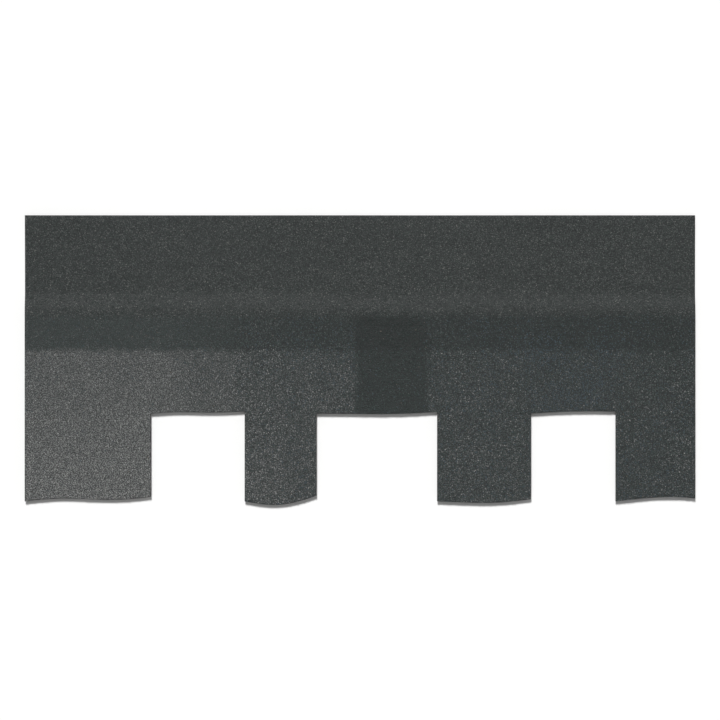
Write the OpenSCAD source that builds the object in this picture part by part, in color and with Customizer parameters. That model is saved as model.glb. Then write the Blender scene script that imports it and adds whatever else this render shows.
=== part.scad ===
// A laminated asphalt shingle strip with wide, wavy tabs that look like split wood shakes.
// It lies face up: +X along the course, +Y up the slope, +Z out of the face.
// The origin is under the middle of the strip, on the surface that it lies on.

/* [Strip] */
// Length of the strip along the course
strip_w = 1000; // [500:1:1500]
// Height from the lowest point of the butt edge to the top edge
strip_h = 432; // [350:1:600]
// Height of face that each course leaves showing
exposure = 127; // [90:1:160]
// How much deeper the notches are than the exposure
notch_cover = 4; // [0:0.5:15]

/* [Cutting die] */
// Width of each tab in one turn of the die
tab_widths = [188, 107, 140, 150]; // [70:1:250]
// Width of the notch after each tab
notch_widths = [140, 180, 126, 97]; // [70:1:250]

/* [Plies] */
// Thickness of the top ply with its granules
top_t = 2.6; // [1.5:0.1:5]
// Thickness of the backing ply
backing_t = 2.4; // [1.5:0.1:5]
// How far the backing's cut edges lie inside those of the top ply
backing_inset = 2; // [0.5:0.5:6]
// Height of the unbroken backing above the notches, which reaches past the nail line
backing_band = 150; // [60:1:180]
// Length over which the top ply comes down past the backing
ramp_run = 30; // [15:1:60]

/* [Sealant] */
// Thickness of a dab
dab_t = 0.8; // [0.4:0.1:2]
// Length of a dab along the course
dab_l = 36; // [20:1:60]
// Width of a dab
dab_w = 12; // [6:1:20]
// Gap between two dabs of one tab
dab_gap = 20; // [5:1:50]
// Clear distance from a dab to the edges of its tab
dab_margin = 10; // [4:1:20]

/* [Hidden] */

// Wave of each cut edge as [slope, arch, S-bend], in mm over the width of its tab or notch.
TAB_WAVES = [[7, 0, 2.5], [8.5, -9, 0], [3.5, -4, 0.5], [0, 6.5, -0.5]];
NOTCH_WAVES = [[3.5, 0, 1], [2.5, -2, 0.5], [3, 1.5, 0], [2, 0, 1]];
// Longest straight step along a wavy edge
WAVE_STEP = 12;

function wave_y(wave, t) = wave[0] * t + wave[1] * sin(180 * t) + wave[2] * sin(360 * t);
function sum_of(list, count) = count == 0 ? 0 : list[count - 1] + sum_of(list, count - 1);

die_w = sum_of(tab_widths, len(tab_widths)) + sum_of(notch_widths, len(notch_widths));
turns = ceil(strip_w / die_w);
function tab_start(turn, i) = turn * die_w + sum_of(tab_widths, i) + sum_of(notch_widths, i);

// Each tab and notch along the strip as [start, width, level of its edge, wave].
tabs = [
    for (turn = [0 : turns - 1], i = [0 : len(tab_widths) - 1])
        if (tab_start(turn, i) < strip_w)
            [tab_start(turn, i), tab_widths[i], 0, TAB_WAVES[i]]
];
notches = [
    for (turn = [0 : turns - 1], i = [0 : len(notch_widths) - 1])
        let (start = tab_start(turn, i) + tab_widths[i])
            if (start < strip_w)
                [start, notch_widths[i], exposure + notch_cover, NOTCH_WAVES[i]]
];

// Points of one tab's or notch's edge, drawn in from it by inset and cut off at the strip's end.
function edge_points(piece, inset, side) =
    let (
        start = piece[0] + side * inset,
        width = piece[1] - 2 * side * inset,
        cut = min(1, (strip_w - inset - start) / width),
        steps = ceil(cut * width / WAVE_STEP)
    )
    cut <= 0 ? [] : [
        for (k = [0 : steps])
            let (t = cut * k / steps)
                [start + t * width, piece[2] + inset + wave_y(piece[3], t)]
    ];
// The whole cut line from left to right: tabs narrow by the inset, and notches widen by it.
function cut_line(inset) = [
    for (i = [0 : len(tabs) - 1])
        each concat(
            edge_points(tabs[i], inset, 1),
            i < len(notches) ? edge_points(notches[i], inset, -1) : []
        )
];

tab_edges = [for (tab = tabs) each [for (p = edge_points(tab, 0, 1)) p[1]]];
notch_edges = [for (notch = notches) each [for (p = edge_points(notch, 0, -1)) p[1]]];
butt_y = min(tab_edges);
backing_top = max(notch_edges) + backing_band;
dab_y = max(tab_edges) + backing_inset + dab_margin + dab_w / 2;
under_top = dab_t + backing_t;

// Moves a drawing from the die's left end and butt line to the strip's own origin.
module placed() {
    translate([-strip_w / 2, -butt_y - strip_h / 2, 0])
        children();
}

module ply_outline(inset, top_y) {
    polygon(concat(cut_line(inset), [[strip_w - inset, top_y], [inset, top_y]]));
}

// Side view of the top ply, from the butt edge over the backing and down to the headlap.
module bent_section() {
    top_y = butt_y + strip_h;
    under = [[butt_y, under_top], [backing_top, under_top], [backing_top + ramp_run, 0], [top_y, 0]];
    over = [for (i = [len(under) - 1 : -1 : 0]) under[i] + [0, top_t]];
    polygon(concat(under, over));
}

module top_ply() {
    color("#4a4e4d")
        placed()
            intersection() {
                linear_extrude(height = under_top + top_t)
                    ply_outline(0, butt_y + strip_h);
                rotate([90, 0, 90])
                    linear_extrude(height = strip_w)
                        bent_section();
            }
}

module backing_ply() {
    color("#343736")
        placed()
            translate([0, 0, dab_t])
                linear_extrude(height = backing_t)
                    ply_outline(backing_inset, backing_top);
}

// One dab, centred, with round ends.
module dab() {
    straight = dab_l - dab_w;
    translate([-straight / 2, -dab_w / 2, 0])
        cube([straight, dab_w, dab_t]);
    for (end = [-1, 1])
        translate([end * straight / 2, 0, 0])
            cylinder(h = dab_t, d = dab_w, $fn = 32);
}

module sealant_dabs() {
    color("#17181a")
        placed()
            for (tab = tabs) {
                width = min(tab[1], strip_w - tab[0]);
                room = width - 2 * (backing_inset + dab_margin);
                count = floor((room + dab_gap) / (dab_l + dab_gap));
                for (k = [0 : 1 : count - 1])
                    translate([tab[0] + width / 2 + (k - (count - 1) / 2) * (dab_l + dab_gap), dab_y, 0])
                        dab();
            }
}

top_ply();
backing_ply();
sealant_dabs();
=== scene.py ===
"""Looks of a laminated asphalt shingle strip: two plies cut by a die, a granule face and sealant dabs.

Shapes are worked out in millimetres in the strip's own coordinates: u runs along the course from the
left end, v up the slope from the butt line, and z out of the face. Strip.place() carries them into the
row frame, in metres.
"""

from __future__ import annotations

import logging
import math
from dataclasses import dataclass, field
from enum import Enum
from typing import Any, Callable, Sequence, Union

import bpy
import numpy as np
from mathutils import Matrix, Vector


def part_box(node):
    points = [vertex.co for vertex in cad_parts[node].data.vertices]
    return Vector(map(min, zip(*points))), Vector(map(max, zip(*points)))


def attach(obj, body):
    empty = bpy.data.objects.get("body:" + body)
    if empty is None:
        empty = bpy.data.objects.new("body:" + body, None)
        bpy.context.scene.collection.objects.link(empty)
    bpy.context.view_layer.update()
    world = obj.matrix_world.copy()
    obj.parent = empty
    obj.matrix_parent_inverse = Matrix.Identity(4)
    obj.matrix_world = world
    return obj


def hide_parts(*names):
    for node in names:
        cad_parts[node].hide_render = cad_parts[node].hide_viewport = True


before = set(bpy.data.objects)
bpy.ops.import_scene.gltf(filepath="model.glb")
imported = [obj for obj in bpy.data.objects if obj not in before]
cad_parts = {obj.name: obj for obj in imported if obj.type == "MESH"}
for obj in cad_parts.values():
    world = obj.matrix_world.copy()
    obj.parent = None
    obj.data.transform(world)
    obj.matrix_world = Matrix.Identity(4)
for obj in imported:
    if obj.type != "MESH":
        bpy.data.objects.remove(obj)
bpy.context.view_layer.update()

log = logging.getLogger("shingle")

MM = 0.001
# Points along each side of a noise lattice, and the lattice point that lies at 0
LATTICE = 256
LATTICE_START = 40.0
Array = np.ndarray
Linear = tuple[float, float, float]


# ---------------------------------------------------------------------------------------------------
# Small numeric helpers
# ---------------------------------------------------------------------------------------------------


def smoothstep(low: float, high: float, x: Array) -> Array:
    """Rises smoothly from 0 where x is low to 1 where it is high, by 3t^2 - 2t^3."""
    t = np.clip((x - low) / (high - low), 0.0, 1.0)
    return t * t * (3.0 - 2.0 * t)


def spaced(stops: Sequence[float], pitch: float) -> Array:
    """Lines through every stop, with even steps of about one pitch between two stops.

    Args:
        stops: rising positions that each get a line.
        pitch: the step to aim at.

    Returns:
        The positions of all lines.
    """
    runs = [
        np.linspace(low, high, max(1, round((high - low) / pitch)), endpoint=False)
        for low, high in zip(stops, stops[1:])
    ]
    return np.concatenate([*runs, [stops[-1]]])


def value_noise(u: Array, v: Array, cell: tuple[float, float], seed: int) -> Array:
    """Smooth noise from -1 to 1: random values on a lattice, blended by smoothstep weights.

    Args:
        u: positions along the strip.
        v: positions up the slope.
        cell: the lattice's spacing in u and v.
        seed: picks the lattice.

    Returns:
        The noise at each position.
    """
    lattice = np.random.default_rng(seed).uniform(-1.0, 1.0, (LATTICE, LATTICE))
    a, b = u / cell[0] + LATTICE_START, v / cell[1] + LATTICE_START
    i, j = np.floor(a).astype(int), np.floor(b).astype(int)
    s, t = smoothstep(0.0, 1.0, a - i), smoothstep(0.0, 1.0, b - j)
    i, j = i % (LATTICE - 1), j % (LATTICE - 1)
    low = lattice[i, j] * (1 - s) + lattice[i + 1, j] * s
    high = lattice[i, j + 1] * (1 - s) + lattice[i + 1, j + 1] * s
    return low * (1 - t) + high * t


@dataclass(frozen=True)
class Waver:
    """Smooth noise given by its reach, its lattice's spacing in u and v in mm, and its seed."""

    reach: float
    cell: tuple[float, float]
    seed: int

    def at(self, u: Array, v: Array) -> Array:
        """The noise at each place, from minus the reach to the reach."""
        return self.reach * value_noise(u, v, self.cell, self.seed)


def linear(red: int, green: int, blue: int) -> Linear:
    """The linear colour of a screen colour given in steps of 0 to 255."""
    c = np.array([red, green, blue]) / 255.0
    return tuple(np.where(c <= 0.04045, c / 12.92, ((c + 0.055) / 1.055) ** 2.4).tolist())


# ---------------------------------------------------------------------------------------------------
# The cutting die and the strip's form
# ---------------------------------------------------------------------------------------------------


class Span(Enum):
    """What the die leaves on a stretch of the butt edge."""

    TAB = "tab"
    NOTCH = "notch"


@dataclass(frozen=True)
class Cut:
    """One tab or notch of the die: its width, and the slope, arch and S-bend of its edge, in mm."""

    span: Span
    width: float
    slope: float
    arch: float
    s_bend: float

    def wave(self, t: Array) -> Array:
        """Height of the edge at a share t of the width: slope t + arch sin(pi t) + bend sin(2 pi t)."""
        return self.slope * t + self.arch * np.sin(np.pi * t) + self.s_bend * np.sin(2 * np.pi * t)


DIE = (
    Cut(Span.TAB, 188, 7, 0, 2.5),
    Cut(Span.NOTCH, 140, 3.5, 0, 1),
    Cut(Span.TAB, 107, 8.5, -9, 0),
    Cut(Span.NOTCH, 180, 2.5, -2, 0.5),
    Cut(Span.TAB, 140, 3.5, -4, 0.5),
    Cut(Span.NOTCH, 126, 3, 1.5, 0),
    Cut(Span.TAB, 150, 0, 6.5, -0.5),
)


def over_notch(u: Array, sides: Array) -> Array:
    """True where u lies in a notch's width, given where each cut of the die starts and the last one ends."""
    notches = [k for k, cut in enumerate(DIE) if cut.span is Span.NOTCH]
    return np.logical_or.reduce([(u > sides[k]) & (u < sides[k + 1]) for k in notches])


@dataclass(frozen=True)
class Strip:
    """The whole strip's sizes in mm, and the surfaces that its plies follow."""

    length: float
    height: float
    notch_depth: float = 131.0
    top_t: float = 2.6
    backing_t: float = 2.4
    backing_inset: float = 2.0
    backing_top: float = 284.5
    ramp_run: float = 30.0
    dab_t: float = 0.8
    # The lowest point of the butt edge
    butt: float = -5.0855
    # Lift of the headlap's wave and of its corners at the top edge, and the wave's length and phase
    lap_wave: float = 0.8
    lap_corner: float = 0.9
    lap_wavelength: float = 370.0
    lap_phase: float = 0.6
    # Where the corners' lift starts, as a share of the way from the middle to the ends
    lap_corner_start: float = 0.86

    @classmethod
    def from_frame(cls) -> "Strip":
        """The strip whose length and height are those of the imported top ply."""
        low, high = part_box("top_ply")
        return cls(length=(high.x - low.x) / MM, height=(high.y - low.y) / MM)

    @property
    def top(self) -> float:
        """Where the top edge lies above the butt line."""
        return self.butt + self.height

    @property
    def starts(self) -> Array:
        """Where each cut of the die starts along the strip, and the strip's right end."""
        ends = np.cumsum([0.0, *(cut.width for cut in DIE)])
        return np.minimum(ends, self.length)

    def place(self, u: Array, v: Array, z: Array) -> Array:
        """Carries strip coordinates into the row frame.

        Args:
            u: mm along the course.
            v: mm up the slope.
            z: mm out of the face.

        Returns:
            Points in metres, one row each.
        """
        middle = (self.butt + self.top) / 2
        parts = np.broadcast_arrays(u - self.length / 2, v - middle, z)
        return np.stack([p.ravel() for p in parts], axis=1) * MM

    def edge_of(self, u: Array, span: Span) -> Array:
        """The height of the tabs' edge, or of the notches' edge, at each u.

        Over the other kind of stretch it runs straight between its neighbours' ends.

        Args:
            u: positions along the strip.
            span: TAB or NOTCH.

        Returns:
            The edge's height above the butt line.
        """
        level = 0.0 if span is Span.TAB else self.notch_depth
        knots_u, knots_v = [], []
        wave, between = np.zeros_like(u), np.ones(np.shape(u), bool)
        for cut, start in zip(DIE, self.starts):
            if cut.span is not span:
                continue
            stretch = (u >= start) & (u <= start + cut.width)
            wave = np.where(stretch, cut.wave((u - start) / cut.width), wave)
            between &= ~stretch
            knots_u += [start, start + cut.width]
            knots_v += [0.0, float(cut.wave(np.array(1.0)))]
        return level + np.where(between, np.interp(u, knots_u, knots_v), wave)

    def edge_distance(self, u: Array, v: Array) -> Array:
        """Distance inwards from the nearest cut edge, negative in a notch.

        Args:
            u: positions along the strip.
            v: positions up the slope.

        Returns:
            The distances in mm.
        """
        notch_edge, open_below = self.edge_of(u, Span.NOTCH), over_notch(u, self.starts)
        below = v < notch_edge
        near = np.minimum.reduce([v - self.edge_of(u, Span.TAB), self.top - v, u, self.length - u])
        side = np.minimum.reduce([np.abs(u - start) for start in self.starts[1:-1]])
        near = np.where(below, np.minimum(near, side), near)
        near = np.where(open_below & ~below, np.minimum(near, v - notch_edge), near)
        return np.where(open_below & below, -np.minimum(side, notch_edge - v), near)

    def rest_height(self, u: Array, v: Array) -> Array:
        """Underside of the top ply: level on the backing, down its ramp, then the slightly wavy headlap.

        The ramp is a smoothstep from just before the backing's top. The headlap's lift grows towards the top
        edge, as a sine wave along it and a smoothstep up to each corner.

        Args:
            u: positions along the strip.
            v: positions up the slope.

        Returns:
            The heights in mm.
        """
        ramp = 1.0 - smoothstep(self.backing_top - self.backing_inset, self.backing_top + self.ramp_run, v)
        lift = smoothstep(self.backing_top + self.ramp_run, self.top, v)
        wave = 0.5 + 0.5 * np.sin(2 * np.pi * u / self.lap_wavelength + self.lap_phase)
        corner = smoothstep(self.lap_corner_start, 1.0, np.abs(2 * u / self.length - 1.0))
        return (self.dab_t + self.backing_t) * ramp + lift * (self.lap_wave * wave + self.lap_corner * corner)


# ---------------------------------------------------------------------------------------------------
# Colour drops of the granule blend
# ---------------------------------------------------------------------------------------------------


@dataclass(frozen=True)
class Granule:
    """One granule colour of the blend, by its name and its screen colour."""

    name: str
    screen: tuple[int, int, int]

    @property
    def colour(self) -> Linear:
        """The linear colour."""
        return linear(*self.screen)


# Tone 0 is the darkest granule and tone 6 the palest.
BLEND = (
    Granule("jet", (33, 41, 39)),
    Granule("coal", (44, 53, 51)),
    Granule("charcoal", (57, 66, 64)),
    Granule("graphite", (74, 79, 78)),
    Granule("ash", (93, 96, 95)),
    Granule("silver", (113, 115, 114)),
    Granule("pale", (134, 135, 133)),
)
SLATE = Granule("slate", (59, 71, 77))
TAN = Granule("tan", (90, 86, 79))
# The headlap has plainer uncoated stone, from dark to light.
LAP_STONE = (
    Granule("lap_black", (38, 44, 42)),
    Granule("lap_dark", (56, 62, 60)),
    Granule("lap_grey", (77, 81, 79)),
    Granule("lap_light", (98, 100, 97)),
)
PALETTE = (*BLEND, SLATE, TAN, *LAP_STONE)


@dataclass(frozen=True)
class Drop:
    """One colour drop: its start and the start's softness in mm, its mean tone, spread and slate share."""

    start: float
    softness: float
    tone: float
    spread: float
    slate: float


@dataclass(frozen=True)
class Blend:
    """How granule colours are dropped over the face, in mm and tones."""

    drops: tuple[Drop, ...] = (
        Drop(0, 1, 4.88, 0.50, 0.02),
        Drop(236, 46, 4.15, 0.76, 0.04),
        Drop(316, 24, 3.35, 1.32, 0.07),
        Drop(384, 30, 3.1, 1.10, 0.09),
        Drop(494, 12, 1.15, 0.55, 0.03),
        Drop(600, 14, 2.5, 1.15, 0.11),
        Drop(752, 50, 2.3, 1.0, 0.30),
        Drop(884, 40, 2.15, 1.1, 0.10),
        Drop(950, 40, 2.1, 1.35, 0.10),
    )
    # Painted shade that darkens a drop from the butt line up to the shadow band: the share of its tone that
    # it loses, and how far up, as a share of that height, it has the tone that is given for it
    painted_shade: float = 0.21
    painted_shade_neutral: float = 0.28
    # The shadow band keeps a share of each drop's tone, less a fixed fall, and strays less by its calm
    shadow_start: float = 225.5
    shadow_softness: float = 11.0
    shadow_share: float = 0.62
    shadow_fall: float = 0.38
    shadow_calm: float = 0.15
    # Where the headlap's plain stone starts, over what height, and its tone and spread
    headlap_start: float = 268.0
    headlap_softness: float = 16.0
    headlap_tone: float = 1.7
    headlap_spread: float = 0.9
    # How a drop's sides wander, how its tone varies, how the bands' edges fray, how the headlap varies,
    # where slate-blue granules gather, and how granules of like tone fall in clumps
    wander: Waver = Waver(3.5, (10.0, 26.0), 3)
    mottle: Waver = Waver(0.10, (34.0, 30.0), 5)
    fray: Waver = Waver(2.5, (7.0, 10.0), 7)
    lap_mottle: Waver = Waver(0.12, (120.0, 9.0), 9)
    slate_patches: Waver = Waver(0.8, (46.0, 38.0), 11)
    clumps: Waver = Waver(0.5, (3.6, 3.6), 13)
    # Dark granules clump by a small share, which grows to the whole between these two tones
    dark_clumps: float = 0.2
    clump_tones: tuple[float, float] = (1.2, 2.4)

    def along(self, u: Array, what: Callable[[Drop], float]) -> Array:
        """A quantity of the drops along the strip, which changes by a smoothstep at each drop's start.

        Args:
            u: positions along the strip.
            what: picks the quantity out of a drop.

        Returns:
            The quantity at each position.
        """
        first, *rest = self.drops
        total, before = np.full(np.shape(u), what(first)), what(first)
        for drop in rest:
            rise = smoothstep(drop.start - drop.softness / 2, drop.start + drop.softness / 2, u)
            total = total + (what(drop) - before) * rise
            before = what(drop)
        return total

    def tone(self, u: Array, v: Array) -> Array:
        """Mean tone of the granules at each place: colour drops, then the shadow band, then the headlap.

        A drop's tone falls evenly up the slope: painted shade, darker towards the top.

        Args:
            u: positions along the strip.
            v: positions up the slope.

        Returns:
            The mean tone.
        """
        face = self.along(u + self.wander.at(u * 0.0, v), lambda drop: drop.tone)
        # Painted shade: each drop darkens evenly from the butt line up to the shadow band.
        face = face * (1.0 + self.painted_shade * (self.painted_shade_neutral - v / self.shadow_start))
        face = face + self.mottle.at(u, v)
        fray = self.fray.at(u, v * 0.0)
        band = smoothstep(0.0, self.shadow_softness, v - self.shadow_start + self.shadow_softness / 2 + fray)
        dim = face * self.shadow_share - self.shadow_fall
        shaded = face * (1 - band) + dim * band
        lap = self.on_headlap(v + fray)
        plain = self.headlap_tone + self.lap_mottle.at(u, v)
        mean = shaded * (1 - lap) + plain * lap
        clumping = self.dark_clumps + (1.0 - self.dark_clumps) * smoothstep(*self.clump_tones, mean)
        return mean + self.clumps.at(u, v) * clumping

    def on_headlap(self, v: Array) -> Array:
        """Share of headlap stone at each height up the slope."""
        return smoothstep(0.0, self.headlap_softness, v - self.headlap_start)

    def slate(self, u: Array, v: Array) -> Array:
        """Share of slate-blue granules at each place."""
        patches = 1.0 + self.slate_patches.at(u, v)
        return self.along(u, lambda drop: drop.slate) * patches * (1 - self.on_headlap(v))

    def spread(self, u: Array, v: Array) -> Array:
        """How far single granules stray from the mean tone, which is a little less in the shadow band.

        Args:
            u: positions along the strip.
            v: positions up the slope.

        Returns:
            The spread in tones.
        """
        lap = self.on_headlap(v)
        band = smoothstep(0.0, self.shadow_softness, v - self.shadow_start)
        face = self.along(u, lambda drop: drop.spread) * (1 - self.shadow_calm * band)
        return face * (1 - lap) + self.headlap_spread * lap


# ---------------------------------------------------------------------------------------------------
# Meshes
# ---------------------------------------------------------------------------------------------------


def make_piece(name: str, points: Array, faces: Array, smooth: bool) -> bpy.types.Object:
    """Makes one mesh object that rides on the root body.

    Args:
        name: the piece's name.
        points: vertices in metres in the row frame, one row each.
        faces: vertex numbers, one row each, all rows of one length.
        smooth: whether faces are shaded smooth.

    Returns:
        The new object.
    """
    corners = faces.shape[1]
    mesh = bpy.data.meshes.new(name)
    mesh.vertices.add(len(points))
    mesh.vertices.foreach_set("co", points.astype(np.float32).ravel())
    mesh.loops.add(faces.size)
    mesh.loops.foreach_set("vertex_index", faces.astype(np.int32).ravel())
    mesh.polygons.add(len(faces))
    mesh.polygons.foreach_set("loop_start", np.arange(0, faces.size, corners, dtype=np.int32))
    mesh.polygons.foreach_set("use_smooth", np.full(len(faces), smooth))
    mesh.update(calc_edges=True)
    piece = bpy.data.objects.new(name, mesh)
    bpy.context.scene.collection.objects.link(piece)
    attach(piece, "root")
    return piece


def add_attribute(piece: bpy.types.Object, name: str, values: Array) -> None:
    """Stores one number for each vertex of a piece, for its material to read."""
    layer = piece.data.attributes.new(name, "FLOAT", "POINT")
    layer.data.foreach_set("value", values.astype(np.float32).ravel())


class Side(Enum):
    """Which side of a ply a face belongs to, and its place in the ply's material list."""

    FACE = 0
    EDGE = 1
    BACK = 2


@dataclass
class Ply:
    """A sheet cut along the die's line, as a closed mesh on a warped grid.

    Grid lines along the course follow the cut edges, so every cut is exact. Cells in the notches are left
    out, and walls join the two sides wherever a kept cell meets none.
    """

    strip: Strip
    # How far the cuts lie inside the die's line, where the sheet ends up the slope, and the grid's spacing
    inset: float
    top: float
    pitch: float
    # Rings of points round the wall, between the face and the back
    wall_rings: int = 2
    # Distances from each edge that get a grid line, so that the edge can be rounded
    rim: tuple[float, float] = (0.35, 1.1)
    # How far the die drags the wall in and out, and the seed of the drag
    drag: float = 0.10
    seed: int = 21
    # Places of the grid's points, and which cells between them hold material
    u: Array = field(init=False)
    v: Array = field(init=False)
    kept: Array = field(init=False)

    def __post_init__(self) -> None:
        """Works out the grid's lines and which cells hold material."""
        strip, gap, (near, far) = self.strip, self.inset, self.rim
        inwards = np.array([gap] + [-gap if cut.span is Span.NOTCH else gap for cut in DIE[1:]] + [-gap])
        sides = strip.starts + inwards
        steps = (0.0, near, far, -near, -far)
        stops = {round(side + step, 4) for side in sides for step in steps}
        lines_u = spaced(sorted(stop for stop in stops if sides[0] <= stop <= sides[-1]), self.pitch)

        # Each line up the slope is spaced from the butt edge to the notches' level, and on to the top.
        depth, rest = strip.notch_depth, self.top - strip.notch_depth
        lower = spaced([0.0, near, far, depth], self.pitch)
        upper = spaced([0.0, near, far, rest - far, rest - near, rest], self.pitch)
        u = lines_u[:, None]
        uncut = np.clip(u - np.interp(u, sides, inwards), 0.0, strip.length)
        butt = strip.edge_of(uncut, Span.TAB) + gap
        notch = strip.edge_of(uncut, Span.NOTCH) + gap
        low = butt + lower[None, :] * (notch - butt) / depth
        high = notch + upper[None, 1:] * (self.top - notch) / rest
        self.v = np.concatenate([low, high], axis=1)
        self.u = np.broadcast_to(u, self.v.shape)

        open_below = over_notch((lines_u[1:] + lines_u[:-1]) / 2, sides)
        in_depth = np.arange(self.v.shape[1] - 1) < len(lower) - 1
        self.kept = ~(open_below[:, None] & in_depth[None, :])

    def cells(self) -> tuple[Array, Array, Array]:
        """The kept cells, and the grid's edges along their outline.

        A cell's side is on the outline where the next cell over that side holds nothing.

        Returns:
            Four vertex numbers for each cell, and the vertices that each outline edge starts and ends at.
        """
        rows = self.v.shape[1]
        i, j = np.nonzero(self.kept)
        a, b, c, d = i * rows + j, (i + 1) * rows + j, (i + 1) * rows + j + 1, i * rows + j + 1
        padded = np.pad(self.kept, 1)
        tails, heads = [], []
        for (di, dj), tail, head in (((0, -1), a, b), ((1, 0), b, c), ((0, 1), c, d), ((-1, 0), d, a)):
            bare = ~padded[i + 1 + di, j + 1 + dj]
            tails.append(tail[bare])
            heads.append(head[bare])
        return np.stack([a, b, c, d], axis=1), np.concatenate(tails), np.concatenate(heads)

    def outward(self, tail: Array, head: Array) -> tuple[Array, Array]:
        """Outward direction at each outline vertex, summed from the edges that meet there.

        Args:
            tail: the vertex that each outline edge starts at.
            head: the vertex that it ends at.

        Returns:
            The outline's vertex numbers, rising, and a unit vector in u and v for each.
        """
        u, v = self.u.ravel(), self.v.ravel()
        direction = np.stack([v[head] - v[tail], u[tail] - u[head]], axis=1)
        direction /= np.linalg.norm(direction, axis=1, keepdims=True)
        out = np.zeros((len(u), 2))
        np.add.at(out, tail, direction)
        np.add.at(out, head, direction)
        rim = np.unique(tail)
        return rim, out[rim] / np.linalg.norm(out[rim], axis=1, keepdims=True)

    def build(
        self,
        name: str,
        slot: str,
        face_z: Callable[[Array, Array], Array],
        back_z: Callable[[Array, Array], Array],
    ) -> tuple[bpy.types.Object, Array, Array]:
        """Makes the closed mesh, with a depth attribute from 0 on the face to 1 on the back.

        Args:
            name: the piece's name.
            slot: not used.
            face_z: height of the upper side at u and v, in mm.
            back_z: height of the underside at u and v, in mm.

        Returns:
            The object, with three material places in the order of Side, and u and v of its vertices.
        """
        u, v = self.u.ravel(), self.v.ravel()
        count = len(u)
        z_face, z_back = face_z(u, v), back_z(u, v)
        upper, tail, head = self.cells()
        rim, out = self.outward(tail, head)

        # Rings of the wall between the two sides. The die drags them in and out a little.
        shares = np.arange(1, self.wall_rings + 1) / (self.wall_rings + 1)
        drag = self.drag * np.random.default_rng(self.seed).uniform(-1.0, 1.0, (self.wall_rings, len(rim)))
        ring_u, ring_v = u[rim] + out[:, 0] * drag, v[rim] + out[:, 1] * drag
        ring_z = z_face[rim] + (z_back[rim] - z_face[rim]) * shares[:, None]
        all_u = np.concatenate([u, u, ring_u.ravel()])
        all_v = np.concatenate([v, v, ring_v.ravel()])
        all_z = np.concatenate([z_face, z_back, ring_z.ravel()])
        depth = np.concatenate([np.zeros(count), np.ones(count), np.repeat(shares, len(rim))])

        # Vertex numbers of each level of the wall, by the number of the grid point above.
        ring_of = np.zeros(count, int)
        ring_of[rim] = np.arange(len(rim))
        rings = [2 * count + k * len(rim) + ring_of for k in range(self.wall_rings)]
        levels = [np.arange(count), *rings, np.arange(count) + count]
        walls = [
            np.stack([high[head], high[tail], low[tail], low[head]], axis=1)
            for high, low in zip(levels, levels[1:])
        ]
        faces = np.concatenate([upper, upper[:, ::-1] + count, *walls])
        counts = [len(upper), len(upper), len(faces) - 2 * len(upper)]
        side_of = np.repeat([Side.FACE.value, Side.BACK.value, Side.EDGE.value], counts)

        used, faces = np.unique(faces, return_inverse=True)
        points = self.strip.place(all_u[used], all_v[used], all_z[used])
        piece = make_piece(name, points, faces.reshape(-1, 4), smooth=True)
        piece.data.polygons.foreach_set("material_index", side_of.astype(np.int32))
        add_attribute(piece, "depth", depth[used])
        return piece, all_u[used], all_v[used]


# ---------------------------------------------------------------------------------------------------
# Shader graphs
# ---------------------------------------------------------------------------------------------------

Input = Union["Signal", bpy.types.NodeSocket, float, tuple]


class Signal:
    """A socket that carries a number, so that arithmetic on it adds Math nodes."""

    def __init__(self, graph: "Graph", socket: bpy.types.NodeSocket) -> None:
        """Wraps a socket of a graph."""
        self.graph = graph
        self.socket = socket

    def _math(self, operation: str, *inputs: Input, clamp: bool = False) -> "Signal":
        """Adds a Math node."""
        settings = {"operation": operation, "use_clamp": clamp}
        return self.graph.signal("ShaderNodeMath", settings, dict(enumerate(inputs)))

    def __add__(self, other: Input) -> "Signal":
        """This plus the other."""
        return self._math("ADD", self, other)

    __radd__ = __add__

    def __sub__(self, other: Input) -> "Signal":
        """This less the other."""
        return self._math("SUBTRACT", self, other)

    def __rsub__(self, other: Input) -> "Signal":
        """The other less this."""
        return self._math("SUBTRACT", other, self)

    def __mul__(self, other: Input) -> "Signal":
        """This times the other."""
        return self._math("MULTIPLY", self, other)

    __rmul__ = __mul__

    def __truediv__(self, other: Input) -> "Signal":
        """This over the other."""
        return self._math("DIVIDE", self, other)

    def above(self, limit: Input) -> "Signal":
        """1 where this is above the limit, and 0 elsewhere."""
        return self._math("GREATER_THAN", self, limit)

    def clamped(self) -> "Signal":
        """This, held between 0 and 1."""
        return self._math("ADD", self, 0.0, clamp=True)

    def rise(self, low: float, high: float) -> "Signal":
        """Rises smoothly from 0 at low to 1 at high."""
        values = {"Value": self, "From Min": low, "From Max": high}
        return self.graph.signal("ShaderNodeMapRange", {"interpolation_type": "SMOOTHSTEP"}, values)


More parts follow.
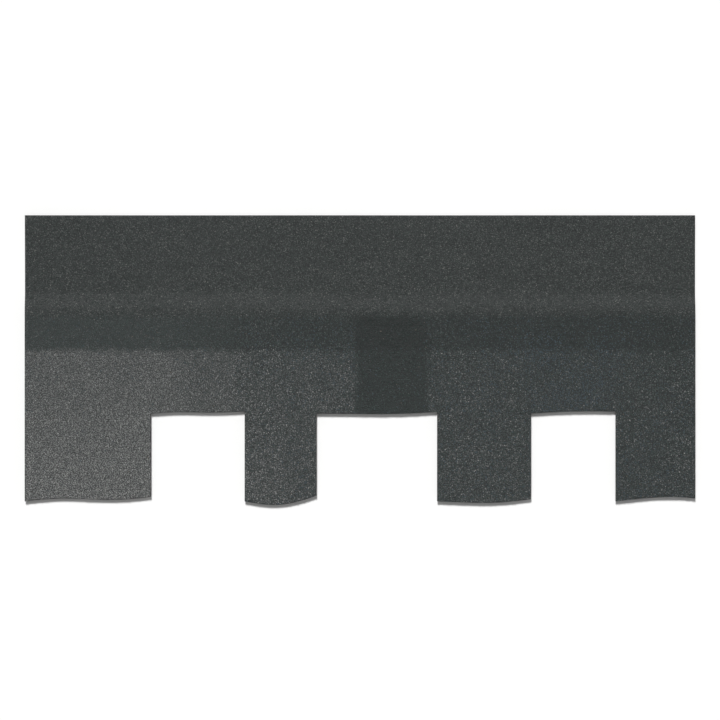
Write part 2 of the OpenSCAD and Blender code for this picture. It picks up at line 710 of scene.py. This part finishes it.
class Graph:
    """One material's nodes, with a Principled surface."""

    def __init__(self, name: str) -> None:
        """Starts an empty material with a Principled shader.

        Args:
            name: the material's name.
        """
        self.material = bpy.data.materials.new(name)
        self.material.use_nodes = True
        self.tree = self.material.node_tree
        self.tree.nodes.clear()
        self.surface = self.node("ShaderNodeBsdfPrincipled", {}, {})
        self.node("ShaderNodeOutputMaterial", {}, {"Surface": self.surface.outputs["BSDF"]})
        self.place = self.node("ShaderNodeTexCoord", {}, {}).outputs["Object"]

    def node(self, kind: str, settings: dict[str, Any], inputs: dict[Any, Input]) -> bpy.types.Node:
        """Adds any node.

        Args:
            kind: the node's type name.
            settings: properties, set first.
            inputs: values or links by socket name or number.

        Returns:
            The new node.
        """
        node = self.tree.nodes.new(kind)
        for key, value in settings.items():
            setattr(node, key, value)
        for key, value in inputs.items():
            self.feed(node.inputs[key], value)
        return node

    def feed(self, target: bpy.types.NodeSocket, value: Input) -> None:
        """Links a socket to what feeds it, or gives it a fixed value.

        Args:
            target: the socket to feed.
            value: a signal, another node's socket, or the fixed value.
        """
        source = value.socket if isinstance(value, Signal) else value
        if isinstance(source, bpy.types.NodeSocket):
            self.tree.links.new(source, target)
        else:
            target.default_value = source

    def set(self, socket: str, value: Input) -> None:
        """Feeds one socket of the Principled shader."""
        self.feed(self.surface.inputs[socket], value)

    def plain(self, colour: Linear, roughness: float, specular: float) -> bpy.types.Material:
        """Gives the whole surface one finish.

        Args:
            colour: the base colour.
            roughness: from 0 to 1.
            specular: the specular level, where 0.5 is common glass or plastic.

        Returns:
            The material.
        """
        self.set("Base Color", (*colour, 1.0))
        self.set("Roughness", roughness)
        self.set("Specular IOR Level", specular)
        return self.material

    def signal(
        self, kind: str, settings: dict[str, Any], inputs: dict[Any, Input], output: Union[int, str] = 0
    ) -> Signal:
        """Adds a node and takes one of its outputs as a number."""
        return Signal(self, self.node(kind, settings, inputs).outputs[output])

    def attribute(self, name: str) -> Signal:
        """A number stored on the mesh."""
        return self.signal("ShaderNodeAttribute", {"attribute_name": name}, {}, "Fac")

    def noise(self, size: float, detail: float = 2.0, stretch: Linear = (1, 1, 1)) -> Signal:
        """Fractal noise.

        Args:
            size: about how wide its features are, in metres.
            detail: how many finer layers it has.
            stretch: how many times as long its features are along each axis.

        Returns:
            The noise, from 0 to 1.
        """
        scale = tuple(1.0 / (size * s) for s in stretch)
        mapping = self.node("ShaderNodeMapping", {}, {"Vector": self.place, "Scale": scale})
        values = {"Vector": mapping.outputs[0], "Scale": 1.0, "Detail": detail}
        return self.signal("ShaderNodeTexNoise", {}, values)

    def cells(self, size: float) -> tuple[Signal, tuple[Signal, Signal, Signal]]:
        """Packed grains.

        Args:
            size: mean width of a grain in metres.

        Returns:
            Distance from each grain's middle as a share of its size, and three random numbers for a grain.
        """
        voronoi = self.node("ShaderNodeTexVoronoi", {}, {"Vector": self.place, "Scale": 1.0 / size})
        parts = self.node("ShaderNodeSeparateColor", {}, {0: voronoi.outputs["Color"]})
        red, green, blue = (Signal(self, parts.outputs[k]) for k in range(3))
        return Signal(self, voronoi.outputs["Distance"]), (red, green, blue)

    def ramp(self, value: Signal, colours: Sequence[Linear], stepped: bool) -> bpy.types.NodeSocket:
        """Looks a value up in evenly spaced colours.

        Args:
            value: from 0 to 1.
            colours: the colours from 0 up.
            stepped: whether the colours change in steps, rather than blended.

        Returns:
            The colour's socket.
        """
        node = self.node("ShaderNodeValToRGB", {}, {"Fac": value})
        node.color_ramp.interpolation = "CONSTANT" if stepped else "LINEAR"
        stops = node.color_ramp.elements
        last = len(colours) if stepped else len(colours) - 1
        for k, colour in enumerate(colours):
            stop = stops[k] if k < len(stops) else stops.new(k / last)
            stop.position = k / last
            stop.color = (*colour, 1.0)
        return node.outputs[0]

    def mix(self, share: Input, first: Input, second: Input) -> bpy.types.NodeSocket:
        """Mixes two colours.

        Args:
            share: the second colour's share.
            first: a colour or a socket.
            second: a colour or a socket.

        Returns:
            The mixed colour's socket.
        """
        settings = {"data_type": "RGBA", "blend_type": "MIX", "clamp_factor": True}
        first, second = ((*c, 1.0) if isinstance(c, tuple) else c for c in (first, second))
        return self.node("ShaderNodeMix", settings, {0: share, 6: first, 7: second}).outputs[2]

    def bump(self, height: Signal, strength: float, distance: float) -> None:
        """Lets a height pattern tilt the surface; the distance is in metres."""
        values = {"Height": height, "Strength": strength, "Distance": distance}
        self.set("Normal", self.node("ShaderNodeBump", {}, values).outputs[0])


# ---------------------------------------------------------------------------------------------------
# Finishes. Each one's relief is the height of its bump in metres.
# ---------------------------------------------------------------------------------------------------

ASPHALT: Linear = (0.011, 0.011, 0.012)


@dataclass(frozen=True)
class StoneChip:
    """Ceramic-coated crushed stone of one colour."""

    granule: Granule
    roughness: float = 0.78
    specular: float = 0.35

    def build(self) -> bpy.types.Material:
        """The material of every granule of this colour."""
        return Graph(f"granule_{self.granule.name}").plain(self.granule.colour, self.roughness, self.specular)


@dataclass(frozen=True)
class GranuleBed:
    """The small granules and the asphalt between the proud ones, toned by the mesh's own attributes."""

    # Width of a grain in metres, and where the gap round it starts and ends, as shares of that width
    grain: float = 0.0013
    gap: tuple[float, float] = (0.26, 0.51)
    # How much of the proud granules' brightness the bed keeps, and how far slate grains cover their tone
    keep: float = 0.62
    slate_cover: float = 0.6
    # Size of the spots that have lost their grains in metres, and the noise level that they start and end at
    bare_spot: float = 0.004
    bare: tuple[float, float] = (0.70, 0.76)
    # How dark asphalt makes the gaps, the bare spots and the smear along a cut edge
    gap_dark: float = 0.85
    bare_dark: float = 0.5
    smear_dark: float = 0.85
    # Roughness of the grains, and how much smoother asphalt is
    roughness: float = 0.85
    gloss: float = 0.25
    relief: float = 0.0007
    bump: float = 0.55

    def build(self) -> bpy.types.Material:
        """Grains take a tone near the local mean, and asphalt shows in the gaps and along the cut edges.

        Returns:
            The material.
        """
        graph = Graph("granule_bed")
        reach, (red, green, blue) = graph.cells(self.grain)
        # Three random numbers from 0 to 1 add up to a bell curve about 1.5 with a spread of a half.
        bell = (red + green + blue - 1.5) * 2.0
        tone = graph.attribute("tone") + graph.attribute("spread") * bell
        colours = [tuple(self.keep * c for c in granule.colour) for granule in BLEND]
        grains = graph.ramp((tone + 0.5) / len(BLEND), colours, stepped=True)
        slate = graph.attribute("slate").above(blue) * self.slate_cover
        grains = graph.mix(slate, grains, tuple(self.keep * c for c in SLATE.colour))
        gaps = reach.rise(*self.gap) * self.gap_dark
        bare = graph.noise(self.bare_spot, detail=3.0).rise(*self.bare) * self.bare_dark
        dark = (gaps + bare + graph.attribute("edge") * self.smear_dark).clamped()
        graph.set("Base Color", graph.mix(dark, grains, ASPHALT))
        graph.set("Roughness", self.roughness - dark * self.gloss)
        graph.bump(1.0 - reach, self.bump, self.relief)
        return graph.material


@dataclass(frozen=True)
class CutEdge:
    """A die-cut edge: asphalt with filler grains, a glass mat line in the middle, granules at the top."""

    # Size in metres of the filler grains, of the layers' wandering, of the breaks in the mat and of the tears
    grain: float = 0.0009
    wander: float = 0.003
    mat_break: float = 0.006
    tear: float = 0.0022
    # How far the layers wander, as a share of the ply's thickness
    ragged: float = 0.22
    # Depths through the ply: the crushed granules thin out, the mat starts and ends, and the sand starts
    crushed_end: tuple[float, float] = (0.10, 0.26)
    mat_start: tuple[float, float] = (0.40, 0.47)
    mat_end: tuple[float, float] = (0.53, 0.60)
    sand_start: tuple[float, float] = (0.86, 0.97)
    # Random numbers above which a grain shows, and the noise level that the mat's breaks end at
    filler_above: float = 0.72
    crushed_above: float = 0.45
    sand_above: float = 0.5
    unbroken: tuple[float, float] = (0.42, 0.6)
    # Each layer's colour, and how far it covers what is under it
    filler: Linear = (0.05, 0.05, 0.048)
    filler_cover: float = 0.5
    mat: Linear = (0.14, 0.125, 0.10)
    mat_cover: float = 0.55
    crushed: Linear = linear(58, 62, 61)
    crushed_cover: float = 0.7
    sand: Linear = (0.10, 0.097, 0.088)
    sand_cover: float = 0.6
    # Roughness of asphalt, and how much rougher the mat is
    roughness: float = 0.62
    mat_rough: float = 0.25
    relief: float = 0.0006
    bump: float = 0.6

    def build(self) -> bpy.types.Material:
        """Layers by depth through the ply, broken up along the edge.

        Returns:
            The material.
        """
        graph = Graph("cut_edge")
        reach, (red, green, blue) = graph.cells(self.grain)
        depth = graph.attribute("depth") + (graph.noise(self.wander) - 0.5) * self.ragged
        layers = graph.mix(red.above(self.filler_above) * self.filler_cover, ASPHALT, self.filler)
        unbroken = graph.noise(self.mat_break, detail=4.0).rise(*self.unbroken)
        mat = depth.rise(*self.mat_start) * (1.0 - depth.rise(*self.mat_end)) * unbroken
        layers = graph.mix(mat * self.mat_cover, layers, self.mat)
        crushed = (1.0 - depth.rise(*self.crushed_end)) * green.above(self.crushed_above)
        layers = graph.mix(crushed * self.crushed_cover, layers, self.crushed)
        sanded = depth.rise(*self.sand_start) * blue.above(self.sand_above)
        graph.set("Base Color", graph.mix(sanded * self.sand_cover, layers, self.sand))
        graph.set("Roughness", self.roughness + mat * self.mat_rough)
        graph.bump((1.0 - reach) + graph.noise(self.tear, detail=4.0), self.bump, self.relief)
        return graph.material


@dataclass(frozen=True)
class SandedBack:
    """The underside: asphalt dusted with fine sand, with faint streaks along the web it was made on."""

    # Size in metres of a grain, of the clouds of sand and of the streaks' width, and the streaks' stretch
    grain: float = 0.0011
    cloud: float = 0.06
    streak: float = 0.012
    streak_stretch: float = 14.0
    # How much sand lies everywhere, and how much more in the clouds and streaks
    least: float = 0.02
    in_clouds: float = 0.8
    in_streaks: float = 0.6
    # How far from its middle a grain starts and ends to thin out, as shares of its width
    grain_end: tuple[float, float] = (0.45, 0.6)
    sands: tuple[Linear, ...] = ((0.05, 0.048, 0.044), (0.10, 0.096, 0.088), (0.19, 0.18, 0.165))
    sand_cover: float = 0.85
    thin_coat: Linear = (0.016, 0.016, 0.016)
    thick_coat: Linear = (0.030, 0.029, 0.027)
    # Roughness of asphalt, and how much rougher sand is
    roughness: float = 0.70
    sand_rough: float = 0.2
    relief: float = 0.0005
    bump: float = 0.5

    def build(self) -> bpy.types.Material:
        """Sand grains over asphalt, thicker in some places than others.

        Returns:
            The material.
        """
        graph = Graph("sanded_back")
        reach, (red, green, _) = graph.cells(self.grain)
        cloud = graph.noise(self.cloud, detail=4.0)
        streak = graph.noise(self.streak, detail=3.0, stretch=(self.streak_stretch, 1.0, 1.0))
        cover = cloud * self.in_clouds + streak * self.in_streaks + self.least
        sand = cover.above(red) * (1.0 - reach.rise(*self.grain_end))
        coat = graph.mix(cloud, self.thin_coat, self.thick_coat)
        grains = graph.ramp(green, self.sands, stepped=False)
        graph.set("Base Color", graph.mix(sand * self.sand_cover, coat, grains))
        graph.set("Roughness", self.roughness + sand * self.sand_rough)
        graph.bump((1.0 - reach) * sand + streak * 0.5, self.bump, self.relief)
        return graph.material


@dataclass(frozen=True)
class FreshAsphalt:
    """Sealant: smooth black asphalt with fine ripples, and dust in places."""

    # Size in metres of the dusty spots and of the ripples
    spot: float = 0.003
    ripple: float = 0.004
    # Noise level that dust starts and ends at, how far it covers the asphalt, and how much rougher it is
    dusty: tuple[float, float] = (0.55, 0.72)
    dust_cover: float = 0.25
    dust_rough: float = 0.4
    dust: Linear = (0.05, 0.048, 0.045)
    black: Linear = (0.006, 0.006, 0.007)
    roughness: float = 0.16
    relief: float = 0.0005
    bump: float = 0.5

    def build(self) -> bpy.types.Material:
        """Gloss that is broken by dust.

        Returns:
            The material.
        """
        graph = Graph("sealant_asphalt")
        dusty = graph.noise(self.spot, detail=5.0).rise(*self.dusty)
        graph.set("Base Color", graph.mix(dusty * self.dust_cover, self.black, self.dust))
        graph.set("Roughness", self.roughness + dusty * self.dust_rough)
        graph.bump(graph.noise(self.ripple, detail=3.0), self.bump, self.relief)
        return graph.material


@dataclass(frozen=True)
class StudioFloor:
    """Plain pale floor paint."""

    colour: Linear = (0.83, 0.83, 0.825)
    roughness: float = 0.9
    specular: float = 0.2

    def build(self) -> bpy.types.Material:
        """A pale matt surface."""
        return Graph("studio_floor").plain(self.colour, self.roughness, self.specular)


# ---------------------------------------------------------------------------------------------------
# Sub-assemblies
# ---------------------------------------------------------------------------------------------------


@dataclass
class TopPly:
    """The full-height sheet with its granule bed."""

    strip: Strip
    blend: Blend
    # Spacing of the grid's lines
    pitch: float = 3.1
    # How far the bed lies below the granules' tops, the reach and fall of the cut rim, and the bed's relief
    bed_depth: float = 0.5
    rim_reach: float = 1.0
    rim_fall: float = 0.6
    relief: float = 0.10
    # Distances from a cut edge between which the smear of asphalt thins out
    smear: tuple[float, float] = (0.1, 1.3)
    seed: int = 17

    def rim_drop(self, distance: Array) -> Array:
        """How far the face falls towards a cut edge: a quarter ellipse of the rim's reach and fall."""
        short = np.clip(self.rim_reach - distance, 0.0, self.rim_reach) / self.rim_reach
        return self.rim_fall * (1.0 - np.sqrt(1.0 - short**2))

    def bed_height(self, u: Array, v: Array) -> Array:
        """Height of the bed: the ply's rest height and thickness, less the fall at the cut edges."""
        drop = self.rim_drop(self.strip.edge_distance(u, v))
        return self.strip.rest_height(u, v) + self.strip.top_t - self.bed_depth - drop

    def face_height(self, u: Array, v: Array) -> Array:
        """The bed with its fine relief."""
        rng = np.random.default_rng(self.seed)
        return self.bed_height(u, v) + self.relief * rng.uniform(-1.0, 1.0, np.shape(u))

    def build(self) -> bpy.types.Object:
        """Builds the ply and dresses its face, edges and back.

        Returns:
            The piece.
        """
        ply = Ply(self.strip, inset=0.0, top=self.strip.top, pitch=self.pitch)
        piece, u, v = ply.build("top_ply_sheet", "granule_face", self.face_height, self.strip.rest_height)
        add_attribute(piece, "tone", self.blend.tone(u, v))
        add_attribute(piece, "spread", self.blend.spread(u, v))
        add_attribute(piece, "slate", self.blend.slate(u, v))
        add_attribute(piece, "edge", 1.0 - smoothstep(*self.smear, self.strip.edge_distance(u, v)))
        for finish in (GranuleBed(), CutEdge(), SandedBack()):
            piece.data.materials.append(finish.build())
        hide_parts("top_ply")
        return piece


# Faces of a six-cornered block, from its lower corners 0 to 2 and its upper corners 3 to 5
BLOCK = ((2, 1, 0), (3, 4, 5), (0, 1, 3), (1, 4, 3), (1, 2, 4), (2, 5, 4), (2, 0, 5), (0, 3, 5))


@dataclass
class GranuleCoat:
    """The proud granules, each a small block of crushed stone pressed into the bed."""

    strip: Strip
    blend: Blend
    bed: TopPly
    # Spacing and mean radius of the granules in mm, and how far each strays, as a share of the spacing
    pitch: float = 2.12
    radius: float = 1.04
    stray: float = 0.36
    # How near a cut edge a granule's middle and its corners come
    margin: float = 0.45
    shear: float = 0.06
    # Shares of the mean radius that granules vary in, and shares of its own radius for a granule's corners
    sizes: tuple[float, float] = (0.72, 1.25)
    low_corners: tuple[float, float] = (0.85, 1.15)
    top_corners: tuple[float, float] = (0.50, 0.92)
    # Height of a granule as a share of its radius and how that varies, the least height, the tilt, and how
    # deep it is sunk
    aspect: float = 0.42
    heights: tuple[float, float] = (0.75, 1.15)
    least: float = 0.10
    tilt: float = 0.13
    sunk: float = 0.30
    # How far a corner strays round the granule, in radians
    skew: float = 0.35
    # Share of all granules that is tan
    tan_share: float = 0.0015
    # Mean place of the headlap's granules among the lap stones, and how far they stray from it
    lap_tone: float = 1.1
    lap_spread: float = 0.7
    seed: int = 29

    def seats(self, rng: np.random.Generator) -> tuple[Array, Array]:
        """Places of all granules: a triangular lattice, each point moved at random, kept off the edges.

        Args:
            rng: the source of the random moves.

        Returns:
            u and v of each granule.
        """
        rise = self.pitch * math.sqrt(3) / 2
        rows = np.arange(self.strip.butt, self.strip.top, rise)
        steps = np.arange(0.0, self.strip.length, self.pitch)
        v, u = np.meshgrid(rows, steps, indexing="ij")
        u = u + (np.arange(len(rows)) % 2)[:, None] * self.pitch / 2
        u = u.ravel() + rng.uniform(-self.stray, self.stray, u.size) * self.pitch
        v = v.ravel() + rng.uniform(-self.stray, self.stray, v.size) * self.pitch
        kept = self.strip.edge_distance(u, v) > self.margin
        return u[kept], v[kept]

    def chips(self, u: Array, v: Array, rng: np.random.Generator) -> tuple[Array, Array]:
        """One block for each place: a sunk triangle and a smaller raised one turned by about 60 degrees.

        Args:
            u: places along the strip.
            v: places up the slope.
            rng: the source of each block's size, turn and tilt.

        Returns:
            Points in the row frame, and triangles.
        """
        n = len(u)
        size = self.radius * rng.uniform(*self.sizes, n)
        turn = rng.uniform(0.0, 2 * np.pi, n)
        corner = np.arange(3) * 2 * np.pi / 3
        low_angle = turn[:, None] + corner + rng.uniform(-self.skew, self.skew, (n, 3))
        top_angle = turn[:, None] + corner + np.pi / 3 + rng.uniform(-self.skew, self.skew, (n, 3))
        low_r = size[:, None] * rng.uniform(*self.low_corners, (n, 3))
        top_r = size[:, None] * rng.uniform(*self.top_corners, (n, 3))
        tall = self.aspect * size[:, None] * rng.uniform(*self.heights, (n, 1)) + self.least
        tilt = rng.uniform(-self.tilt, self.tilt, (n, 3))
        seat = self.bed.bed_height(u, v)[:, None]
        angle = np.concatenate([low_angle, top_angle], axis=1)
        radius = np.concatenate([low_r, top_r], axis=1)
        height = np.concatenate([np.full((n, 3), -self.sunk), tall + tilt], axis=1)
        chip_u, chip_v = radius * np.cos(angle), radius * np.sin(angle)

        # The die shears granules at its line: a corner that would pass it is drawn back along its radius.
        reach = self.strip.edge_distance(u, v)[:, None] - self.shear
        spill = self.strip.edge_distance(u[:, None] + chip_u, v[:, None] + chip_v) - self.shear
        share = np.where(spill < 0, reach / np.maximum(reach - spill, 1e-6), 1.0)
        points = self.strip.place(u[:, None] + chip_u * share, v[:, None] + chip_v * share, seat + height)
        return points, (np.arange(n)[:, None, None] * 6 + np.array(BLOCK)).reshape(-1, 3)

    def kinds(self, u: Array, v: Array, rng: np.random.Generator) -> Array:
        """Draws each granule's colour: the nearest to the mean tone plus its own stray.

        A share of the middling ones is slate-blue, and a few are tan. On the headlap they are lap stone.

        Args:
            u: places along the strip.
            v: places up the slope.
            rng: the source of the strays and shares.

        Returns:
            Each granule's place in the palette.
        """
        n = len(u)
        mean = self.blend.tone(u, v)
        stray = rng.standard_normal(n)
        kind = np.clip(np.rint(mean + self.blend.spread(u, v) * stray), 0, len(BLEND) - 1).astype(int)
        middling = (kind > 0) & (kind < len(BLEND) - 2)
        kind[(rng.random(n) < self.blend.slate(u, v)) & middling] = PALETTE.index(SLATE)
        kind[rng.random(n) < self.tan_share] = PALETTE.index(TAN)
        lap = rng.random(n) < self.blend.on_headlap(v)
        lap_tone = self.lap_tone + (mean - self.blend.headlap_tone) + self.lap_spread * stray
        lap_kind = np.clip(np.rint(lap_tone), 0, len(LAP_STONE) - 1).astype(int)
        return np.where(lap, lap_kind + PALETTE.index(LAP_STONE[0]), kind)

    def build(self) -> list[bpy.types.Object]:
        """Builds one piece for each granule colour.

        Returns:
            The pieces.
        """
        rng = np.random.default_rng(self.seed)
        u, v = self.seats(rng)
        kind = self.kinds(u, v, rng)
        pieces = []
        for k, granule in enumerate(PALETTE):
            chosen = kind == k
            if not chosen.any():
                continue
            points, triangles = self.chips(u[chosen], v[chosen], rng)
            piece = make_piece(f"granules_{granule.name}", points, triangles, smooth=False)
            piece.data.materials.append(StoneChip(granule).build())
            pieces.append(piece)
            log.info("%s: %d granules, %d triangles", piece.name, chosen.sum(), len(triangles))
        return pieces


@dataclass
class BackingPly:
    """The second ply, laminated under the tabs, a little inside their cut edges."""

    strip: Strip
    # Spacing of the grid's lines
    pitch: float = 5.0
    # Gap to the top ply, so that the two faces don't coincide
    gap: float = 0.01

    def back_height(self, u: Array, v: Array) -> Array:
        """The backing's underside: level, on the sealant."""
        return np.full(np.shape(u), self.strip.dab_t)

    def face_height(self, u: Array, v: Array) -> Array:
        """The backing's upper side, against the top ply."""
        return np.full(np.shape(u), self.strip.dab_t + self.strip.backing_t - self.gap)

    def build(self) -> bpy.types.Object:
        """Builds the ply and dresses it.

        Returns:
            The piece.
        """
        ply = Ply(self.strip, inset=self.strip.backing_inset, top=self.strip.backing_top, pitch=self.pitch)
        piece, _, _ = ply.build("backing_ply_sheet", "sanded_backing", self.face_height, self.back_height)
        for finish in (SandedBack(), CutEdge(), SandedBack()):
            piece.data.materials.append(finish.build())
        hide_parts("backing_ply")
        return piece


@dataclass
class SealantDashes:
    """Dashes of asphalt sealant poured under the tabs near the butt edge."""

    strip: Strip
    # Length, width, and gap between dashes, their height above the butt line and clearance at a tab's sides
    length: float = 36.0
    width: float = 12.0
    gap: float = 20.0
    up_slope: float = 26.5
    clearance: float = 12.0
    # Power of the outline's superellipse, its mean size, and how far it wanders, as shares of the full size
    squareness: float = 2.7
    mean_size: float = 0.955
    wander: float = 0.035
    # Depth of the ripples, their spacing along and across, the step between two dashes in them, their seed
    ripple: float = 0.05
    ripple_cell: tuple[float, float] = (2.6, 2.2)
    ripple_step: float = 40.0
    ripple_seed: int = 31
    # Power of the fall from crown to rim, how thin the rim gets (1 is a knife edge), and the size of the face
    # that sticks to the backing
    flatness: float = 7.0
    thinning: float = 0.995
    lip: float = 0.9
    # Points round a dash, rings from its crown to its rim, and the seed of the first dash's outline
    around: int = 56
    rings: int = 9
    seed: int = 50

    def centres(self) -> list[float]:
        """Middles of all dashes along the strip, centred as a row on each tab.

        Returns:
            The middles in mm.
        """
        pitch, found = self.length + self.gap, []
        for cut, start in zip(DIE, self.strip.starts):
            if cut.span is not Span.TAB:
                continue
            width = min(cut.width, self.strip.length - start)
            count = math.floor((width - 2 * self.clearance + self.gap) / pitch)
            found += [start + width / 2 + (k - (count - 1) / 2) * pitch for k in range(count)]
        return found

    def dash(self, number: int) -> tuple[Array, Array, Array]:
        """One poured dash about its middle, as rings from its crown out to its rim and back in on top.

        The outline is a superellipse that wanders in by a few percent. The fall at a share s of the way
        out is about t sqrt(1 - s^7), with fine ripples, so the dash is pressed flat in the middle.

        Args:
            number: which dash, so that each is poured a little differently.

        Returns:
            u, v and z of its points, ring by ring, from a point at the crown to a point on top.
        """
        rng = np.random.default_rng(self.seed + number)
        angle = np.arange(self.around) * 2 * np.pi / self.around
        phase = rng.uniform(0, 2 * np.pi, 4)
        # The waves add up to 1.3 at most.
        waves = sum(np.sin(k * angle + phase[k - 2]) / k for k in (2, 3, 4, 5))
        reach = self.mean_size + self.wander * waves / 1.3
        power = 2 / self.squareness
        rim_u = reach * self.length / 2 * np.sign(np.cos(angle)) * np.abs(np.cos(angle)) ** power
        rim_v = reach * self.width / 2 * np.sign(np.sin(angle)) * np.abs(np.sin(angle)) ** power
        share = np.sin(np.linspace(0, np.pi / 2, self.rings + 1))[1:, None]
        u, v = share * rim_u, share * rim_v
        noise = value_noise(u + self.ripple_step * number, v, self.ripple_cell, self.ripple_seed)
        ripple = self.ripple * (1 + noise)
        fall = (self.strip.dab_t - ripple) * np.sqrt(1 - self.thinning * share**self.flatness)
        level = np.zeros(self.around)
        all_u = np.concatenate([[0.0], u.ravel(), self.lip * rim_u, [0.0]])
        all_v = np.concatenate([[0.0], v.ravel(), self.lip * rim_v, [0.0]])
        all_fall = np.concatenate([[self.strip.dab_t - self.ripple], fall.ravel(), level, [0.0]])
        return all_u, all_v, self.strip.dab_t - all_fall

    def build(self) -> bpy.types.Object:
        """Builds all dashes as one piece, as they are one material in one node.

        Returns:
            The piece.
        """
        here = np.arange(self.around)
        after = (here + 1) % self.around
        rings = self.rings + 1
        last = 1 + rings * self.around
        fan = [np.stack([np.zeros_like(here), 1 + after, 1 + here], axis=1)]
        for k in range(rings - 1):
            inner, outer = 1 + k * self.around, 1 + (k + 1) * self.around
            fan.append(np.stack([inner + here, inner + after, outer + after], axis=1))
            fan.append(np.stack([inner + here, outer + after, outer + here], axis=1))
        rim = last - self.around
        fan.append(np.stack([rim + here, rim + after, np.full_like(here, last)], axis=1))
        one = np.concatenate(fan)
        points, faces = [], []
        for number, middle in enumerate(self.centres()):
            u, v, z = self.dash(number)
            points.append(self.strip.place(u + middle, v + self.up_slope, z))
            faces.append(one + number * (last + 1))
        points, faces = np.concatenate(points), np.concatenate(faces)
        piece = make_piece("sealant_dashes", points, faces, smooth=True)
        piece.data.materials.append(FreshAsphalt().build())
        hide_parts("sealant_dabs")
        return piece


@dataclass(frozen=True)
class Backdrop:
    """A pale studio floor that curves up into a low round wall, in metres."""

    flat: float = 5.0
    reach: float = 10.0
    height: float = 3.2
    rings: int = 24
    around: int = 96

    def build(self) -> bpy.types.Object:
        """Revolves the profile: flat, then rising by a smoothstep of the share of the way out.

        Returns:
            The floor.
        """
        radius = np.concatenate([[0.0], np.linspace(self.flat, self.reach, self.rings)])
        rise = self.height * smoothstep(self.flat, self.reach, radius)
        angle = np.arange(self.around) * 2 * np.pi / self.around
        across, back = np.outer(radius, np.cos(angle)), np.outer(radius, np.sin(angle))
        up = np.outer(rise, np.ones(self.around))
        points = np.stack([across, back, up], axis=-1).reshape(-1, 3)
        ring, here = np.meshgrid(np.arange(self.rings), np.arange(self.around), indexing="ij")
        after = (here + 1) % self.around
        inner, outer = ring * self.around, (ring + 1) * self.around
        faces = np.stack([inner + here, outer + here, outer + after, inner + after], axis=-1).reshape(-1, 4)
        mesh = bpy.data.meshes.new("floor")
        mesh.from_pydata(points.tolist(), [], faces.tolist())
        mesh.materials.append(StudioFloor().build())
        mesh.polygons.foreach_set("use_smooth", np.full(len(faces), True))
        floor = bpy.data.objects.new("floor", mesh)
        bpy.context.scene.collection.objects.link(floor)
        return floor


@dataclass(frozen=True)
class Studio:
    """Camera and light: straight down on the face, with a low soft key from the upper left."""

    lens: float = 100.0
    sensor: float = 36.0
    # Share of the picture's width that the strip takes
    fill: float = 0.93
    key_strength: float = 4.5
    key_softness_deg: float = 14.0
    key_elevation_deg: float = 41.0
    key_turn_deg: float = 12.0
    ambient: float = 0.23

    def build(self, width: float) -> None:
        """Makes the camera, the key light and the ambient light.

        Args:
            width: the strip's length in metres.
        """
        scene = bpy.context.scene
        data = bpy.data.cameras.new("camera")
        data.lens, data.sensor_width = self.lens, self.sensor
        camera = bpy.data.objects.new("camera", data)
        distance = width / self.fill * self.lens / self.sensor
        camera.location = (0.0, 0.0, distance)
        scene.collection.objects.link(camera)
        scene.camera = camera

        sun = bpy.data.lights.new("key", "SUN")
        sun.energy = self.key_strength
        sun.angle = math.radians(self.key_softness_deg)
        key = bpy.data.objects.new("key", sun)
        tilt = math.radians(90.0 - self.key_elevation_deg)
        key.rotation_euler = (-tilt, 0.0, math.radians(self.key_turn_deg))
        scene.collection.objects.link(key)

        world = bpy.data.worlds.new("studio")
        world.use_nodes = True
        background = world.node_tree.nodes["Background"]
        background.inputs["Color"].default_value = (1.0, 1.0, 1.0, 1.0)
        background.inputs["Strength"].default_value = self.ambient
        scene.world = world
        scene.view_settings.view_transform = "Standard"


def main() -> None:
    """Builds every piece in order and reports it."""
    logging.basicConfig(level=logging.INFO, format="%(name)s: %(message)s")
    strip, blend = Strip.from_frame(), Blend()
    Studio().build(strip.length * MM)
    Backdrop().build()
    top = TopPly(strip, blend)
    pieces = [
        top.build(),
        *GranuleCoat(strip, blend, top).build(),
        BackingPly(strip).build(),
        SealantDashes(strip).build(),
    ]
    for piece in pieces:
        log.info("%s: %d faces", piece.name, len(piece.data.polygons))


if __name__ == "__main__":
    main()
